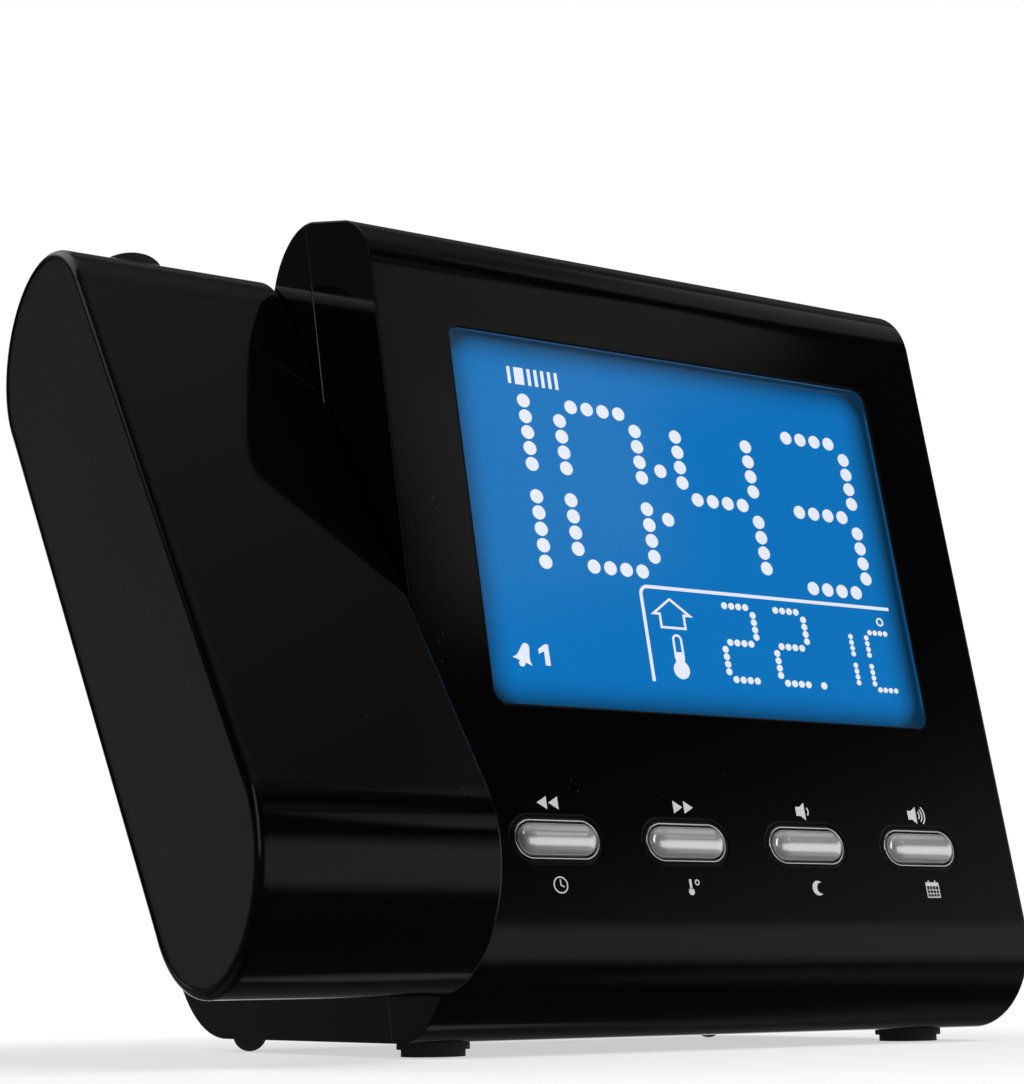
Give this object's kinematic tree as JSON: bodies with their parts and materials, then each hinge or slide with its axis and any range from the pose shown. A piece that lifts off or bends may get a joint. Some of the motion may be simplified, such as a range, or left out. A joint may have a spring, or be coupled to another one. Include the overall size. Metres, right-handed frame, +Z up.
{
  "type": "projection alarm clock",
  "caption": "Leaning desk clock with a large backlit display, chrome pill buttons, top keys and a side arm that tilts to project the time, with a focus ring on its tip.",
  "frame": {"origin": "on the table under the middle of the clock's bounding box", "axes": "+X to the right seen from the front, -Y the way the display faces, +Z up"},
  "size_m": [0.17, 0.1254, 0.1543],
  "materials": {
    "gloss_black": "polished moulded housing",
    "window": "clear acrylic window",
    "display_blue": "blue backlit display glass",
    "white_plastic": "white moulding",
    "clear_plastic": "clear light guide",
    "strip_rubber": "layered contact rubber",
    "board_green": "solder-masked board",
    "chip_black": "moulded component",
    "bright_chrome": "polished plating",
    "key_black": "fine-textured key",
    "speaker_metal": "black stamped frame",
    "cone_black": "pressed paper cone",
    "magnet_grey": "ferrite",
    "coil_copper": "enamelled wire",
    "black_rubber": "soft rubber",
    "spring_steel": "plated spring strip",
    "matte_black": "fine spark texture",
    "screw_steel": "zinc plated",
    "hub_steel": "turned",
    "washer_brass": "spring washer",
    "cap_grey": "dark grey satin cap",
    "led_red": "red lamp",
    "clear_glass": "moulded lens",
    "slide_glass": "small transmissive display"
  },
  "bodies": {
    "housing": {"front_cover": "gloss_black", "rear_cover": "gloss_black", "display_window": "window", "lcd_panel": "display_blue", "display_holder": "white_plastic", "light_guide": "clear_plastic", "elastomer_strips": "strip_rubber", "backlight_leds": "white_plastic", "main_board": "board_green", "board_chips": "chip_black", "key_board": "board_green", "front_switches": "chip_black", "button_sockets": "bright_chrome", "top_key_board": "board_green", "top_switches": "chip_black", "speaker_frame": "speaker_metal", "speaker_cone": "cone_black", "speaker_magnet": "magnet_grey", "ferrite_rod": "magnet_grey", "antenna_coil": "coil_copper", "antenna_grommet": "black_rubber", "power_inlet": "chip_black", "audio_socket": "chip_black", "battery_contacts": "spring_steel", "temperature_sensor": "chip_black", "front_feet": "black_rubber", "rear_feet": "black_rubber", "case_screws": "screw_steel", "board_screws": "screw_steel", "pivot_hub": "hub_steel", "friction_washer": "washer_brass", "pivot_nut": "hub_steel"},
    "arm": {"arm_shell": "gloss_black", "arm_end_cap": "cap_grey", "arm_bush": "white_plastic", "projector_board": "board_green", "projector_led": "led_red", "condenser_lens": "clear_glass", "slide_lcd": "slide_glass", "lens_tube": "matte_black", "arm_screws": "screw_steel"},
    "focus_control": {"focus_ring": "matte_black"},
    "lens_carrier": {"lens_cell": "matte_black", "projection_lens": "clear_glass"},
    "seek_down": {"seek_down_button": "bright_chrome"},
    "seek_up": {"seek_up_button": "bright_chrome"},
    "volume_down": {"volume_down_button": "bright_chrome"},
    "volume_up": {"volume_up_button": "bright_chrome"},
    "alarm_one": {"alarm_one_key": "key_black"},
    "alarm_two": {"alarm_two_key": "key_black"},
    "snooze": {"snooze_bar": "key_black"},
    "radio": {"radio_key": "key_black"},
    "mode": {"mode_key": "key_black"},
    "battery_lid": {"battery_door": "matte_black"}
  },
  "joints": [
    {"name": "arm_tilt", "type": "hinge", "parent": "housing", "child": "arm", "pos_m": [-0.04295, -0.02815, 0.04959], "axis": [1, 0, 0], "range_deg": [-53.5, 126.5]},
    {"name": "focus_turn", "type": "hinge", "parent": "arm", "child": "focus_control", "pos_m": [-0.0641, 0.02985, 0.12797], "axis": [0, 0.4226, 0.9063], "range_deg": [0, 180]},
    {"name": "lens_focus", "type": "slide", "parent": "arm", "child": "lens_carrier", "axis": [0, 0.4226, 0.9063], "range_m": [0, 0.00165]},
    {"name": "seek_down_press", "type": "slide", "parent": "housing", "child": "seek_down", "axis": [0, 0.9781, -0.2079], "range_m": [0, 0.0008], "stiffness_N_per_m": 500, "springref_m": -0.0006},
    {"name": "seek_up_press", "type": "slide", "parent": "housing", "child": "seek_up", "axis": [0, 0.9781, -0.2079], "range_m": [0, 0.0008], "stiffness_N_per_m": 500, "springref_m": -0.0006},
    {"name": "volume_down_press", "type": "slide", "parent": "housing", "child": "volume_down", "axis": [0, 0.9781, -0.2079], "range_m": [0, 0.0008], "stiffness_N_per_m": 500, "springref_m": -0.0006},
    {"name": "volume_up_press", "type": "slide", "parent": "housing", "child": "volume_up", "axis": [0, 0.9781, -0.2079], "range_m": [0, 0.0008], "stiffness_N_per_m": 500, "springref_m": -0.0006},
    {"name": "alarm_one_press", "type": "slide", "parent": "housing", "child": "alarm_one", "axis": [0, -0.4695, -0.8829], "range_m": [0, 0.0008], "stiffness_N_per_m": 600, "springref_m": -0.0007},
    {"name": "alarm_two_press", "type": "slide", "parent": "housing", "child": "alarm_two", "axis": [0, -0.4695, -0.8829], "range_m": [0, 0.0008], "stiffness_N_per_m": 600, "springref_m": -0.0007},
    {"name": "snooze_press", "type": "slide", "parent": "housing", "child": "snooze", "axis": [0, -0.4695, -0.8829], "range_m": [0, 0.0008], "stiffness_N_per_m": 600, "springref_m": -0.0007},
    {"name": "radio_press", "type": "slide", "parent": "housing", "child": "radio", "axis": [0, -0.4695, -0.8829], "range_m": [0, 0.0008], "stiffness_N_per_m": 600, "springref_m": -0.0007},
    {"name": "mode_press", "type": "slide", "parent": "housing", "child": "mode", "axis": [0, -0.4695, -0.8829], "range_m": [0, 0.0008], "stiffness_N_per_m": 600, "springref_m": -0.0007},
    {"name": "door_swing", "type": "hinge", "parent": "housing", "child": "battery_lid", "pos_m": [0.02115, 0.05518, 0.05029], "axis": [-1, 0, 0], "range_deg": [0, 95]}
  ],
  "couplings": [
    {"joint": "lens_focus", "follows": "focus_turn", "m_per_rad": 0.000509}
  ]
}
